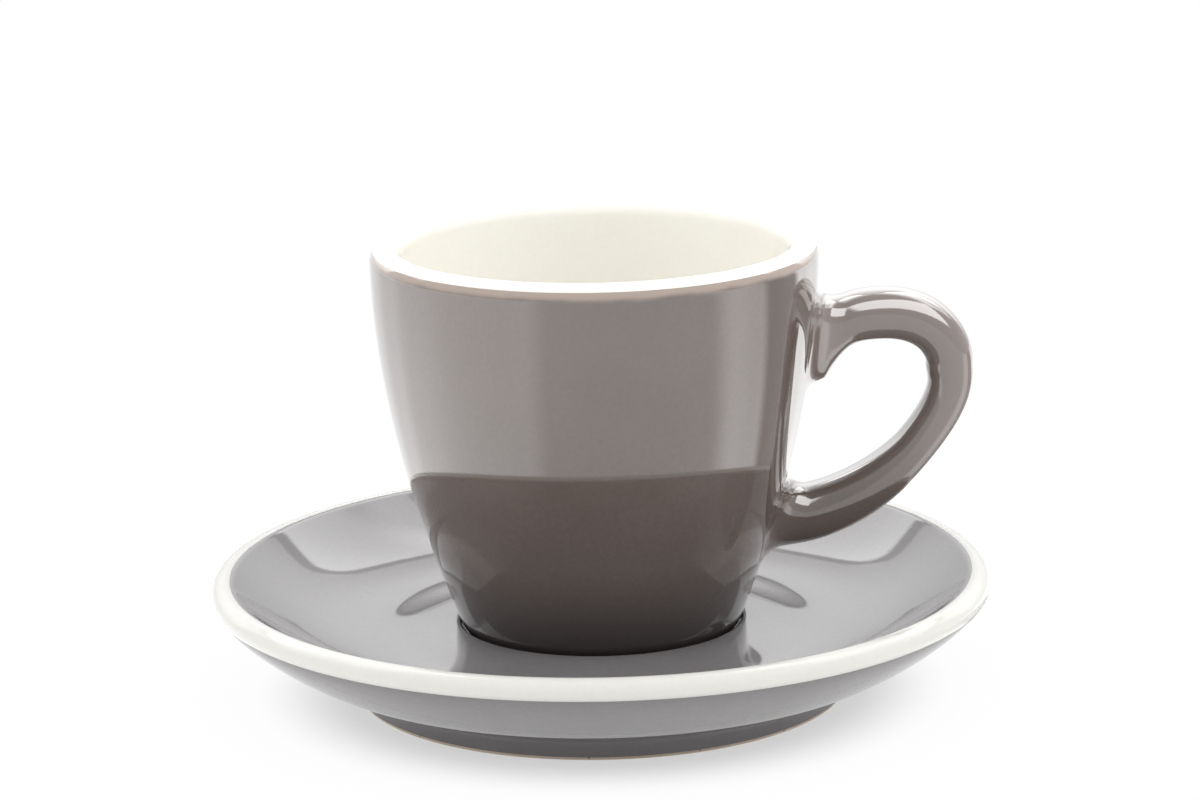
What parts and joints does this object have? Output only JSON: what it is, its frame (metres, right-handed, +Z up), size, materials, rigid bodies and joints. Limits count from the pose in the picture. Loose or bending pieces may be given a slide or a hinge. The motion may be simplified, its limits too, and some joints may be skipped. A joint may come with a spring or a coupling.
{
  "type": "cup and saucer",
  "caption": "Small thick-walled porcelain coffee cup with a loop handle, standing in the seat of a round footed saucer; grey glaze with a white lip and rim.",
  "frame": {"origin": "centre of the saucer's foot ring, on the plane it stands on", "axes": "+Z up, along the axis of the cup and the saucer; +X towards the handle"},
  "size_m": [0.1156, 0.1156, 0.0678],
  "materials": {
    "bare_porcelain": "fired, unglazed, fine matt",
    "grey_glaze": "clear gloss over warm grey",
    "saucer_grey_glaze": "clear gloss over cool grey",
    "white_glaze": "gloss white",
    "slip": "fired joining slip, matt"
  },
  "bodies": {
    "saucer": {"saucer_body": "bare_porcelain", "saucer_top_glaze": "saucer_grey_glaze", "saucer_rim_glaze": "white_glaze", "saucer_under_glaze": "saucer_grey_glaze", "saucer_foot_glaze": "saucer_grey_glaze"},
    "cup": {"cup_body": "bare_porcelain", "cup_outer_glaze": "grey_glaze", "cup_liner_glaze": "white_glaze", "cup_foot_glaze": "grey_glaze", "upper_slip_joint": "slip", "lower_slip_joint": "slip", "handle": "bare_porcelain", "handle_glaze": "grey_glaze"}
  },
  "joints": [
    {"name": "cup_lift", "type": "slide", "parent": "saucer", "child": "cup", "axis": [0, 0, 1], "range_m": [0, 0.08]}
  ]
}
